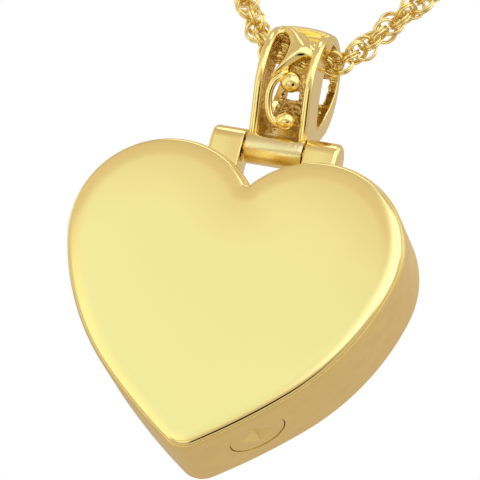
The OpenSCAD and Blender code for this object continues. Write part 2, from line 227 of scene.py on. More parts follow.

# %% [markdown]
# Yellow gold of 14 carats is warm and reflects almost all the light. What changes from place to place
# is the surface: buffed to a mirror on the front, satin on the band, grainy where the casting wasn't reached.
# The grainy gold is also darker, as painted shade in the bail's hollows.

# %% Gold finishes
CLOUD_SCALE = 900.0


def gold(name, colour, roughness, grain=0.0, grain_mm=0.1, mottle=0.0):
    """Gold with a fine grain and faint cloudiness; grain is the height of the grain in mm."""
    made = bpy.data.materials.new(name)
    made.use_nodes = True
    tree = made.node_tree
    skin = tree.nodes["Principled BSDF"]
    skin.inputs["Metallic"].default_value = 1.0
    skin.inputs["Roughness"].default_value = roughness
    skin.inputs["Base Color"].default_value = linear(colour)
    where = add(tree, "ShaderNodeTexCoord").outputs["Object"]
    if mottle:
        cloud = add(tree, "ShaderNodeTexNoise", [("Vector", where)], Scale=CLOUD_SCALE, Detail=4.0)
        shade = add(tree, "ShaderNodeMapRange", [(0, cloud.outputs[0])], To_Min=1 - mottle, To_Max=1 + mottle)
        tint = add(tree, "ShaderNodeMix", data_type="RGBA", blend_type="MULTIPLY")
        tint.inputs[0].default_value = 1.0
        tint.inputs[6].default_value = linear(colour)
        tree.links.new(shade.outputs[0], tint.inputs[7])
        tree.links.new(tint.outputs[2], skin.inputs["Base Color"])
    if grain:
        speck = add(tree, "ShaderNodeTexNoise", [("Vector", where)], Scale=1000 / grain_mm, Detail=3.0)
        bump = add(
            tree, "ShaderNodeBump", [("Height", speck.outputs[0])], Strength=1.0, Distance=grain * MM
        )
        tree.links.new(bump.outputs[0], skin.inputs["Normal"])
    return made


# buffed on a wheel: a nearly clear mirror, so the front shows the room's soft gradients
mirror_gold = gold("buffed 14 carat gold", "#F9E7A1", 0.09)
# brushed satin: reflections melt into an even glow with a fine grain
satin_gold = gold("satin 14 carat gold", "#F7DF99", 0.4, grain=0.006, grain_mm=0.09, mottle=0.06)
# polished by hand after casting: sharp highlights and dark edges on every curve
cast_gold = gold("polished cast gold", "#F8E29A", 0.13)
# left as it came from the mould, where no polishing tool reaches: dull, with a sandy grain; its darker colour
# is painted shade in the bail's hollows
rough_gold_painted_shade = gold("raw cast gold with painted shade", "#E6C886", 0.3, grain=0.08, grain_mm=0.22, mottle=0.3)
# rubbed by the lugs: paler and a little dulled
worn_gold = gold("worn hinge gold", "#EEDDA8", 0.2, grain=0.012, grain_mm=0.16, mottle=0.05)
# drawn through a die: smooth and bright
wire_gold = gold("drawn gold wire", "#F8E29A", 0.13)

# %% [markdown]
# The heart's outline is made of arcs that run smoothly into each other: lobe, side, flatter low curve, tip.
# An outline that lies further in keeps the same centres with smaller radii, and turns round the cleft.
# Stacking such outlines at their depths gives the whole skin, so every reflection flows without a facet.

# %% The heart's outline
CLEFT_Z = math.sqrt(LOBE_R ** 2 - LOBE_X ** 2)
CLEFT_ANGLE = math.atan2(CLEFT_Z, -LOBE_X)


def arc(x, z, radius, start, end, count):
    """Points on an arc from start up to, but without, end."""
    angles = [start + (end - start) * i / count for i in range(count)]
    return [(x + radius * math.cos(a), z + radius * math.sin(a)) for a in angles]


def outline(inset):
    """The whole outline at this inset, clockwise from the cleft, as x and z pairs."""
    right = arc(0, CLEFT_Z, inset, -math.pi / 2, CLEFT_ANGLE - math.pi, 10)
    right += arc(LOBE_X, 0, LOBE_R - inset, CLEFT_ANGLE, -SIDE_START, 56)
    right += arc(SIDE_X, SIDE_Z, SIDE_R - inset, -SIDE_START, -SIDE_END, 30)
    tip = max(TIP_R - inset, 0)
    low_end = math.acos(-LOW_X / (LOW_R - inset - tip))
    tip_z = LOW_Z - (LOW_R - inset - tip) * math.sin(low_end)
    right += arc(LOW_X, LOW_Z, LOW_R - inset, -SIDE_END, -low_end, 36)
    right += arc(0, tip_z, tip, -low_end, -math.pi / 2, 16)
    right.append((0, tip_z - tip))
    return right + [(-x, z) for x, z in reversed(right[1:-1])]


print("points in an outline:", len(outline(0.5)))

# %% [markdown]
# The profile says how far in each outline lies at each depth behind the front. The front is flat in its
# middle and bends away faster and faster towards its rim. A hairline seam shows where the plate was soldered.

# %% The case's skin


DOME_RUN, DOME_SLOPE = 3.2, math.radians(2.4)
CROWN_RUN, CROWN_SLOPE, CROWN_SPEED = 1.1, math.radians(12), 1.3
RIM_R, SEAM, SEAM_DEPTH = 0.28, 0.05, 0.06


def shoulder(depth):
    """How far in the band's rounded front edge lies at this depth."""
    return FRONT_EDGE - math.sqrt(FRONT_EDGE ** 2 - (FRONT_EDGE - depth) ** 2)


def front_profile():
    """Insets and depths from the flat middle over the crown and round the rim, front to back."""
    steps, path = 18, [(0.0, 0.0)]
    run = fall = 0.0
    slopes = [(DOME_RUN, DOME_SLOPE * (i + 0.5) / steps) for i in range(steps)]
    slopes += [
        (CROWN_RUN, DOME_SLOPE + (CROWN_SLOPE - DOME_SLOPE) * ((i + 0.5) / steps) ** CROWN_SPEED)
        for i in range(steps)
    ]
    for length, slope in slopes:
        run, fall = run + length / steps, fall + length / steps * math.tan(slope)
        path.append((run, fall))
    edge = shoulder(SEAM_PLANE)
    rim_start = edge + RIM_R * (1 - math.sin(CROWN_SLOPE))
    rings = [(rim_start + run - r, f) for r, f in path]
    for i in range(1, 9):
        angle = CROWN_SLOPE + (math.pi / 2 - CROWN_SLOPE) * i / 8
        across, down = RIM_R * (1 - math.sin(angle)), RIM_R * (math.cos(CROWN_SLOPE) - math.cos(angle))
        rings.append((edge + across, fall + down))
    return rings


profile = front_profile()
plate_rings, seam_top = len(profile), profile[-1][1]
groove = shoulder(SEAM_PLANE) + SEAM_DEPTH
profile += [(groove, seam_top + 0.01), (groove, seam_top + SEAM)]
profile += [
    (shoulder(depth), depth)
    for depth in [seam_top + SEAM + 0.01 + (FRONT_EDGE - seam_top - SEAM - 0.01) * i / 8 for i in range(9)]
]
profile += [(0, 2.5), (0, 4.3)]
profile += [
    (BACK_EDGE * (1 - math.cos(a)), CASE_DEPTH - BACK_EDGE * (1 - math.sin(a)))
    for a in [math.pi / 2 * i / 10 for i in range(11)]
]
print("front edge ends", round(seam_top, 3), "mm behind the face")


def skin(mesh, rings, inward=False):
    """Adds rings of points and the faces between them, with flat ends, to a bmesh."""
    rows = [[mesh.verts.new((x, depth, z)) for x, z in outline(inset)] for inset, depth in rings]
    count = len(rows[0])
    bands = []
    for a, b in zip(rows, rows[1:]):
        bands.append([
            mesh.faces.new((a[i], b[i], b[(i + 1) % count], a[(i + 1) % count])) for i in range(count)
        ])
    front, rear = mesh.faces.new(rows[0]), mesh.faces.new(list(reversed(rows[-1])))
    if inward:
        for face in [front, rear, *(f for band in bands for f in band)]:
            face.normal_flip()
    return front, bands, rear


def finished(name, mesh, place, materials, body, sharp=35):
    """Makes an object of a bmesh in its place, shaded smooth up to the sharp angle."""
    mesh.normal_update()
    data = bpy.data.meshes.new(name)
    mesh.to_mesh(data)
    mesh.free()
    data.transform(place)
    for finish in materials:
        data.materials.append(finish)
    data.shade_smooth()
    data.set_sharp_from_angle(angle=math.radians(sharp))
    made = bpy.data.objects.new(name, data)
    bpy.context.scene.collection.objects.link(made)
    if body:
        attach(made, body)
    return made


# %% [markdown]
# The hollow inside is a second skin that faces inwards. The filling port is cut through the band with
# booleans: first the boss joins the case, then a stepped cutter opens the seat and the bore.

# %% The port's axis and turned shapes
PLUG_HEAD, HEAD_DEPTH, SHANK, PLUG_LENGTH = 3.65, 0.7, 2.7, 2.9
PLUG_GAP, BOSS_WALL, PORT_DEPTH, PORT_SUNK = 0.04, 0.6, 3.2, 0.06
port_x = LOW_X + (LOW_R - PORT_SUNK) * math.cos(PORT_ANGLE)
port_z = LOW_Z - (LOW_R - PORT_SUNK) * math.sin(PORT_ANGLE)
port_turn = Matrix.Rotation(math.pi / 2 + PORT_ANGLE, 4, "Y")
port_place = Matrix.Translation((port_x, PORT_DEPTH, port_z)) @ port_turn


def turned(points, sides=96):
    """A lathe shape about Z from (radius, height) points that start and end on the axis."""
    mesh = bmesh.new()
    rings = []
    for radius, height in points:
        if radius < 1e-6:
            rings.append([mesh.verts.new((0, 0, height))])
        else:
            rings.append([
                mesh.verts.new((radius * math.cos(a), radius * math.sin(a), height))
                for a in [math.tau * i / sides for i in range(sides)]
            ])
    for a, b in zip(rings, rings[1:]):
        for i in range(sides):
            j = (i + 1) % sides
            ends = [a[i % len(a)], a[j % len(a)], b[j % len(b)], b[i % len(b)]]
            mesh.faces.new(list(dict.fromkeys(ends)))
    bmesh.ops.recalc_face_normals(mesh, faces=mesh.faces)
    return mesh


def cut(target, tool, operation):
    """Applies a boolean to target's mesh and deletes the tool."""
    step = target.modifiers.new("cut", "BOOLEAN")
    step.operation, step.object, step.solver = operation, tool, "EXACT"
    graph = bpy.context.evaluated_depsgraph_get()
    result = bpy.data.meshes.new_from_object(target.evaluated_get(graph))
    target.modifiers.clear()
    old, target.data = target.data, result
    name = old.name
    bpy.data.meshes.remove(old)
    target.data.name = name
    bpy.data.objects.remove(tool)


# %% The heart case
shape = bmesh.new()
front, bands, rear = skin(shape, profile)
for face in [front, *(f for band in bands[:plate_rings] for f in band)]:
    face.material_index = 0
for face in [rear, *(f for band in bands[plate_rings:] for f in band)]:
    face.material_index = 1
skin(shape, [(BAND_WALL, PLATE_WALL), (BAND_WALL, CASE_DEPTH - PLATE_WALL)], inward=True)
bmesh.ops.remove_doubles(shape, verts=shape.verts, dist=1e-5)
heart = finished("heart_shell", shape, case_place, [mirror_gold, satin_gold], None)
boss = finished("boss", turned([
    (0, -PLUG_LENGTH), (SHANK / 2 + PLUG_GAP + BOSS_WALL, -PLUG_LENGTH),
    (SHANK / 2 + PLUG_GAP + BOSS_WALL, -BAND_WALL / 2), (0, -BAND_WALL / 2)
]), case_place @ port_place, [satin_gold], None)
cut(heart, boss, "UNION")
cutter = finished("cutter", turned([
    (0, -PLUG_LENGTH - 1), (SHANK / 2 + PLUG_GAP, -PLUG_LENGTH - 1),
    (SHANK / 2 + PLUG_GAP, -HEAD_DEPTH - PLUG_GAP), (PLUG_HEAD / 2 + PLUG_GAP, -HEAD_DEPTH - PLUG_GAP),
    (PLUG_HEAD / 2 + PLUG_GAP, 1), (0, 1)
]), case_place @ port_place, [satin_gold], None)
cut(heart, cutter, "DIFFERENCE")
heart.data.shade_smooth()
heart.data.set_sharp_from_angle(angle=math.radians(35))
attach(heart, "heart")
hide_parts("heart_case")
print("heart faces:", len(heart.data.polygons))

# %% [markdown]
# The port's plug is a flush screw. Its satin head has a shallow square socket, turned on its corner, with
# sloping walls that catch the light on one side and go dark on the other.

# %% The plug
SOCKET_REACH, SOCKET_FLOOR, SOCKET_DEPTH, HEAD_EDGE = 1.06, 0.3, 0.5, 0.05
plug = finished("screw_plug", turned([
    (0, -PLUG_LENGTH), (SHANK / 2, -PLUG_LENGTH), (SHANK / 2, -HEAD_DEPTH), (PLUG_HEAD / 2, -HEAD_DEPTH),
    (PLUG_HEAD / 2, -HEAD_EDGE), (PLUG_HEAD / 2 - HEAD_EDGE, 0), (0, 0)
]), case_place @ port_place, [satin_gold], None)
key = finished("key", turned([
    (0, -SOCKET_DEPTH), (SOCKET_FLOOR, -SOCKET_DEPTH), (SOCKET_REACH, 0), (SOCKET_REACH, 0.5), (0, 0.5)
], 4), case_place @ port_place, [satin_gold], None)
cut(plug, key, "DIFFERENCE")
plug.data.shade_smooth()
plug.data.set_sharp_from_angle(angle=math.radians(30))
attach(plug, "plug")
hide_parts("port_plug")
print("plug faces:", len(plug.data.polygons))

# %% [markdown]
# Each lug is a stub of bar with a round top and a softly filed outer edge, soldered onto its lobe.

# %% The lugs and the hinge pin
LUG_IN, LUG_WIDTH, LUG_DEPTH, LUG_EDGE, LUG_BREAK = 2.02, 2.15, 2.14, 0.28, 0.06
for side, name in ((1, "lug_right"), (-1, "lug_left")):
    shape = bmesh.new()
    half = LUG_DEPTH / 2
    foot = HINGE_HEIGHT - math.sqrt(LOBE_R ** 2 - (LOBE_X - LUG_IN) ** 2) + BAND_WALL / 2
    section = [(half * math.cos(a), half * math.sin(a)) for a in [math.pi * i / 40 for i in range(41)]]
    section += [(-half, -foot), (half, -foot)]
    ends = []
    for x in (LUG_IN, LUG_IN + LUG_WIDTH):
        ends.append([shape.verts.new((side * x, HINGE_DEPTH + y, HINGE_HEIGHT + z)) for y, z in section])
    inner, outer = shape.faces.new(ends[0]), shape.faces.new(ends[1])
    for i in range(len(section)):
        j = (i + 1) % len(section)
        shape.faces.new((ends[0][i], ends[0][j], ends[1][j], ends[1][i]))
    bmesh.ops.recalc_face_normals(shape, faces=shape.faces)
    bmesh.ops.bevel(shape, geom=list(outer.edges), offset=LUG_EDGE, segments=6, profile=0.5, affect="EDGES")
    rim_edges = [e for e in shape.edges if all(abs(v.co.x - side * LUG_IN) < 1e-6 for v in e.verts)]
    bmesh.ops.bevel(shape, geom=rim_edges, offset=LUG_BREAK, segments=3, profile=0.5, affect="EDGES")
    lug = finished(name, shape, case_place, [cast_gold], "heart", sharp=50)
PIN_R, PIN_HALF = 0.45, 2.6
pin_place = Matrix.Translation((0, HINGE_DEPTH, HINGE_HEIGHT)) @ Matrix.Rotation(math.pi / 2, 4, "Y")
pin = finished("hinge_pin", turned([
    (0, -PIN_HALF), (PIN_R, -PIN_HALF), (PIN_R, PIN_HALF), (0, PIN_HALF)
], 32), case_place @ pin_place, [cast_gold], "heart")

# %% [markdown]
# The bail is cast: two round rails run up its front corners and a leaf, a curl and two balls fill the space
# between them. A foundry carves such a thing in wax and lets the parts melt into each other. Here the parts
# are drawn apart in millimetres, and a voxel remesh melts them in the same way, with small soft fillets.

# %% Lines on the loop
LOOP_R, LOOP_Z, SHELL, LEG_FOOT, HALF_BAIL = 3.35, 4.95, 0.55, 0.32, 1.9
INNER_R = LOOP_R - SHELL
LEG_LEAN = math.asin((LOOP_R - LEG_FOOT) / LOOP_Z)


def loop_line(radius, start, end, steps=24):
    """Points (y, z) round the loop at this radius; angles in degrees, 0 at the front, 90 at the top."""
    turns = [math.radians(start + (end - start) * i / steps) for i in range(steps + 1)]
    return [(-radius * math.cos(t), LOOP_Z + radius * math.sin(t)) for t in turns]


def leg_point(radius, z, side=-1):
    """Where a leg at this radius stands at height z; side is -1 in front and 1 at the back."""
    return side * (radius - LOOP_R + LEG_FOOT + z * math.sin(LEG_LEAN)) / math.cos(LEG_LEAN), z


def face_y(z, rise=0.0):
    """The depth of the loop's front face at height z."""
    if z > LOOP_Z - LOOP_R * math.sin(LEG_LEAN):
        return -math.sqrt(max((LOOP_R + rise) ** 2 - (z - LOOP_Z) ** 2, 0))
    return leg_point(LOOP_R + rise, z)[0]


print("legs lean", round(math.degrees(LEG_LEAN), 1), "degrees")

# %% Wax tools: wires, plates and bands
bail_parts = []


def keep_part(name, data):
    """Keeps a mesh as one of the bail's wax parts."""
    made = bpy.data.objects.new(name, data)
    bpy.context.scene.collection.objects.link(made)
    bail_parts.append(made)


def as_mesh(curve):
    """A curve's solid as a mesh."""
    holder = bpy.data.objects.new(curve.name, curve)
    bpy.context.scene.collection.objects.link(holder)
    data = bpy.data.meshes.new_from_object(holder.evaluated_get(bpy.context.evaluated_depsgraph_get()))
    bpy.data.objects.remove(holder)
    bpy.data.curves.remove(curve)
    return data


def wire(name, points, radius):
    """A round wire through the points."""
    path = bpy.data.curves.new(name, "CURVE")
    path.dimensions, path.bevel_depth, path.bevel_resolution, path.use_fill_caps = "3D", radius, 6, True
    line = path.splines.new("BEZIER")
    line.bezier_points.add(len(points) - 1)
    for knot, point in zip(line.bezier_points, points):
        knot.co = point
        knot.handle_left_type = knot.handle_right_type = "AUTO"
    line.resolution_u = 8
    keep_part(name, as_mesh(path))


def ball(name, centre, radius):
    """A ball."""
    mesh = bmesh.new()
    bmesh.ops.create_icosphere(mesh, subdivisions=4, radius=radius, matrix=Matrix.Translation(centre))
    data = bpy.data.meshes.new(name)
    mesh.to_mesh(data)
    mesh.free()
    keep_part(name, data)


def plate(name, outlines, x0, x1, bevel=0.06):
    """A plate between x0 and x1 whose outlines are loops of (y, z); a loop inside another is a hole."""
    path = bpy.data.curves.new(name, "CURVE")
    path.dimensions, path.fill_mode = "2D", "BOTH"
    path.extrude, path.bevel_depth, path.offset, path.bevel_resolution = (x1 - x0) / 2 - bevel, bevel, -bevel, 2
    for points in outlines:
        line = path.splines.new("POLY")
        line.points.add(len(points) - 1)
        line.use_cyclic_u = True
        for knot, (y, z) in zip(line.points, points):
            knot.co = (y, z, 0, 1)
    data = as_mesh(path)
    data.transform(Matrix(((0, 0, 1, (x0 + x1) / 2), (1, 0, 0, 0), (0, 1, 0, 0), (0, 0, 0, 1))))
    keep_part(name, data)


def loft(name, sections):
    """A closed solid through sections of equally many points."""
    mesh = bmesh.new()
    rows = [[mesh.verts.new(point) for point in section] for section in sections]
    count = len(rows[0])
    for a, b in zip(rows, rows[1:]):
        for i in range(count):
            mesh.faces.new((a[i], a[(i + 1) % count], b[(i + 1) % count], b[i]))
    mesh.faces.new(rows[0])
    mesh.faces.new(rows[-1])
    bmesh.ops.recalc_face_normals(mesh, faces=mesh.faces)
    data = bpy.data.meshes.new(name)
    mesh.to_mesh(data)
    mesh.free()
    keep_part(name, data)


def spread(points, count):
    """Evenly spaced points along a broken line."""
    line = np.array(points, dtype=float)
    length = np.concatenate([[0], np.cumsum(np.linalg.norm(np.diff(line, axis=0), axis=1))])
    spots = np.linspace(0, length[-1], count)
    return np.stack([np.interp(spots, length, line[:, i]) for i in range(line.shape[1])], axis=1)


# %% [markdown]
# The side plates are teardrops with a large window that the chain passes through. Rails, plates and the
# strap at the back stop inside the wall of the hinge barrel, so its bore stays free for the pin.

# %% Rails, side plates and back strap
RAIL_R, RAIL_LINE, RAIL_X, RAIL_FOOT, RAIL_KNEE, RAIL_BEND = 0.29, 3.2, 1.61, 0.62, 1.7, -37
RAIL_TOPS = ((1, 27), (-1, 45))
PLATE_IN, PLATE_FOOT, LEG_TURN, SADDLE_R = 1.32, 0.75, 37.7, 0.72
for side, top in RAIL_TOPS:
    points = [leg_point(RAIL_LINE, RAIL_FOOT), leg_point(RAIL_LINE, RAIL_KNEE)]
    points += loop_line(RAIL_LINE, RAIL_BEND, top, 10)
    wire("rail", [(side * RAIL_X, y, z) for y, z in points], RAIL_R)
    y, z = points[-1]
    ball("rail_end", (side * RAIL_X, y, z), RAIL_R)
saddle = [
    (SADDLE_R * math.cos(math.radians(a)), SADDLE_R * math.sin(math.radians(a))) for a in range(140, 39, -10)
]
drop = [leg_point(LOOP_R, PLATE_FOOT)] + loop_line(LOOP_R, -LEG_TURN, 180 + LEG_TURN, 72)
drop.append(leg_point(LOOP_R, PLATE_FOOT, 1))
window = [
    (0.83, 2.4), (0.38, 2.58), (0.04, 2.86), (-0.26, 3.26), (-0.68, 3.95), (-1.14, 4.94), (-1.47, 5.85),
    (-1.5, 6.4), (-1.44, 6.9), (-1.22, 7.4), (-0.85, 7.68), (-0.3, 7.83), (0.4, 7.84), (1.1, 7.66),
    (1.75, 7.27), (2.24, 6.75), (2.48, 6.1), (2.35, 5.5), (2.13, 4.63), (1.7, 3.63), (1.25, 2.9)
]
for x0, x1 in ((PLATE_IN, HALF_BAIL), (-HALF_BAIL, -PLATE_IN)):
    plate("side_plate", [drop + saddle[::-1], window], x0, x1, bevel=0.05)


def strap(name, x0, x1, line, bevel=0.05):
    """A band between x0 and x1; line gives its outer and its inner points."""
    outer, inner = line
    plate(name, [outer + inner[::-1]], x0, x1, bevel)


BACK_TOP, CROWN_START, STRAP_HALF, STRAP_TOP, STRAP_FOOT = 140, 48, 1.4, 174, 0.6
POST_LEFT, POST_RIGHT, WINDOW_TOP, FILL_END, POST_END = -0.45, 0.65, 135, 161, 178
CROWN_R, CROWN_BULGE, CROWN_HALF = 3.2, 0.42, 2.0
sections = []
for i in range(29):
    x = -HALF_BAIL + 2 * HALF_BAIL * i / 28
    high = CROWN_R + CROWN_BULGE * math.sqrt(1 - (x / CROWN_HALF) ** 2)
    sections.append(
        [(x, *p) for p in loop_line(high, CROWN_START, BACK_TOP)]
        + [(x, *p) for p in loop_line(INNER_R, CROWN_START, BACK_TOP)[::-1]]
    )
loft("crown", sections)
strap("back_fill", -STRAP_HALF, POST_LEFT + 0.05, [
    loop_line(r, WINDOW_TOP, FILL_END) for r in (LOOP_R, INNER_R)
])
strap("back_post", POST_LEFT, POST_RIGHT, [loop_line(r, WINDOW_TOP, POST_END) for r in (LOOP_R, INNER_R)])
strap("back_strap", -STRAP_HALF, STRAP_HALF, [
    loop_line(r, STRAP_TOP, 180 + LEG_TURN) + [leg_point(r, STRAP_FOOT, 1)] for r in (LOOP_R, INNER_R)
])
print("parts so far:", len(bail_parts))

# %% [markdown]
# The leaf is a ribbon with a domed face that swells in its middle and runs out to two points. Its two edges
# were measured on the real piece; the ribbon is lofted between them. Below it a curl of wire holds two balls.

# %% Leaf, curl, balls and hood
left = spread([(-1.12, 7.08), (-0.62, 6.63), (-0.3, 5.89), (-0.32, 5.3), (-0.41, 4.69), (-0.6, 4.13),
               (-0.8, 3.6), (-0.86, 3.3)], 26)
right = spread([(-0.21, 7.28), (0.44, 6.8), (0.89, 6.26), (1.3, 5.71), (1.24, 5.21), (0.82, 4.98),
                (0.47, 4.57), (0.12, 4.11), (-0.3, 3.68), (-0.78, 3.26)], 26)
LEAF_DOME, LEAF_THICK = 0.5, 0.4
sections = []
for (xa, za), (xb, zb) in zip(left, right):
    outer, inner = [], []
    for i in range(13):
        t = i / 12
        x, z = xa + (xb - xa) * t, za + (zb - za) * t
        outer.append((x, face_y(z, LEAF_DOME * math.sin(math.pi * t) ** 0.7), z))
        inner.append((x, face_y(z) + LEAF_THICK, z))
    sections.append(outer + inner[::-1])
loft("leaf", sections)
curl = [(0.1, 3.68), (-0.35, 3.6), (-0.62, 3.3), (-0.82, 2.8), (-0.84, 2.35), (-0.74, 1.85), (-0.5, 1.47),
        (-0.17, 1.26), (0.2, 1.2)]
wire("curl", [(x, face_y(z, 0.02), z) for x, z in curl], 0.25)
ball("upper_ball", (0.44, -2.9, 3.47), 0.67)
ball("lower_ball", (0.42, -1.5, 1.47), 0.64)
hood = [(-1.45, 7.0), (-1.07, 7.27), (-0.38, 7.21), (0.28, 6.87), (0.83, 6.25), (1.2, 5.8), (1.45, 5.5)]
wire("hood_lip", [(x, face_y(z, -0.12), z) for x, z in hood], 0.24)
sections = []
for x, z in spread(hood, 20):
    start = math.degrees(math.asin((z - LOOP_Z) / 3.12))
    sections.append(
        [(x, *p) for p in loop_line(3.12, start, 60, 8)] + [(x, *p) for p in loop_line(2.8, start, 60, 8)[::-1]]
    )
loft("hood_web", sections)

# %% [markdown]
# The barrel stays a crisp turned tube. It is added after the rest has melted together, because a remesh
# would round its ends and its bore.

# %% One bail
VOXEL, SMOOTHING = 0.055, 5
melted = bmesh.new()
for part in bail_parts:
    melted.from_mesh(part.data)
    bpy.data.objects.remove(part)
data = bpy.data.meshes.new("bail_form")
melted.to_mesh(data)
melted.free()
form = bpy.data.objects.new("bail_form", data)
bpy.context.scene.collection.objects.link(form)
melt = form.modifiers.new("melt", "REMESH")
melt.mode, melt.voxel_size = "VOXEL", VOXEL
soften = form.modifiers.new("soften", "SMOOTH")
soften.factor, soften.iterations = 0.5, SMOOTHING
cast = bpy.data.meshes.new_from_object(form.evaluated_get(bpy.context.evaluated_depsgraph_get()))
bpy.data.objects.remove(form)
shape = bmesh.new()
shape.from_mesh(cast)
# faces inside the loop and on the side plates' inner walls take the rough gold: dull and grainy like an
# unpolished casting, and darker as painted shade
for face in shape.faces:
    x, y, z = face.calc_center_median()
    inward = Vector((0, -y, LOOP_Z - z))
    reach = inward.length
    inner_side = abs(x) < 1.36 and (x * face.normal.x < -0.5 * abs(x))
    shaded_hollow = reach < 3.0 and face.normal.dot(inward) > 0.4 * reach
    face.material_index = 1 if abs(x) < 1.4 and (shaded_hollow or inner_side and reach < 3.0) else 0
CAST_GRAIN, GRAIN_SIZE = 0.09, 0.26
for vertex in {v for face in shape.faces if face.material_index for v in face.verts}:
    vertex.co += vertex.normal * CAST_GRAIN * noise.noise(vertex.co / GRAIN_SIZE)
BARREL_R, BARREL_HALF, BORE_R = 1.05, 1.87, 0.5
barrel = turned([
    (BORE_R, -BARREL_HALF), (BARREL_R - 0.08, -BARREL_HALF), (BARREL_R - 0.02, -BARREL_HALF + 0.02),
    (BARREL_R, -BARREL_HALF + 0.08), (BARREL_R, BARREL_HALF - 0.08), (BARREL_R - 0.02, BARREL_HALF - 0.02),
    (BARREL_R - 0.08, BARREL_HALF), (BORE_R, BARREL_HALF), (BORE_R, -BARREL_HALF)
], 96)
for face in barrel.faces:
    face.material_index = 2
tube = bpy.data.meshes.new("barrel")
barrel.transform(Matrix.Rotation(math.pi / 2, 4, "Y"))
barrel.to_mesh(tube)
barrel.free()
shape.from_mesh(tube)
bmesh.ops.remove_doubles(shape, verts=shape.verts, dist=1e-5)
bail = finished("cast_bail", shape, bail_place, [cast_gold, rough_gold_painted_shade, worn_gold], "bail", sharp=50)
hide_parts("bail")
print("bail faces:", len(bail.data.polygons))

# %% [markdown]
# A rope chain is made of small round rings, each of two fine wires laid side by side.
# Every ring passes through the one before it and is rolled on by about 130 degrees,
# so the rings lock into a cord that looks twisted but bends every way.

# %% One link of the chain, in Geometry Nodes
LINK_PITCH, LINK_ROLL, LINK_TILT = 0.592, math.radians(130.5), math.radians(1.94)
LINK_LONG, LINK_WIDE, LINK_OFF, LINK_SIDE = 0.756, 0.748, -0.072, -0.041
WIRE_R, WIRE_APART = 0.09, 0.1
ROUTE = [
    (0, 0), (1, 0), (1.9, 0.05), (2.45, 0.3), (2.95, 0.85), (3.45, 1.5), (5, 3.7), (9, 9.4), (15, 18),
    (22, 28), (29, 38), (36, 48), (43, 58), (48, 65.1), (52.2, 71.1), (56.3, 77.7), (59.6, 84.9),
    (61.9, 92.4), (63.3, 100.1), (63.7, 107.9), (63.2, 115.7), (61.7, 123.4), (59.3, 130.9), (56, 138),
    (51.8, 144.8), (46.8, 150.9), (41.1, 156.4), (34.8, 161.1), (28, 164.9), (20.8, 167.9), (13.3, 170),
    (8, 170.9), (3.9, 171.4)
]
route = [(-x, z) for x, z in reversed(ROUTE[1:])] + ROUTE


def smooth_route(points, step):
    """The route as evenly spaced points a step apart, through a smooth curve."""
    path = bpy.data.curves.new("route", "CURVE")
    path.dimensions = "3D"
    line = path.splines.new("BEZIER")
    line.bezier_points.add(len(points) - 1)
    for knot, (x, z) in zip(line.bezier_points, points):
        knot.co = (x, 0, z)
        knot.handle_left_type = knot.handle_right_type = "AUTO"
    line.resolution_u = 64
    holder = bpy.data.objects.new("route", path)
    bpy.context.scene.collection.objects.link(holder)
    bpy.context.view_layer.update()
    dense = np.array([v.co for v in holder.to_mesh().vertices])
    holder.to_mesh_clear()
    bpy.data.objects.remove(holder)
    length = np.concatenate([[0], np.cumsum(np.linalg.norm(np.diff(dense, axis=0), axis=1))])
    count = int(length[-1] / step) | 1
    spots = length[-1] / 2 + (np.arange(count) - count // 2) * step
    return np.stack([np.interp(spots, length, dense[:, i]) for i in range(3)], axis=1), length[-1]


spots, chain_length = smooth_route(route, LINK_PITCH)
print("chain", round(chain_length), "mm,", len(spots), "links")


def socket(tree, kind, name, value, out=False):
    """Adds a named input or output to a node group."""
    made = tree.interface.new_socket(name, in_out="OUTPUT" if out else "INPUT", socket_type=kind)
    if not out and kind != "NodeSocketGeometry" and value is not None:
        made.default_value = value
    return made


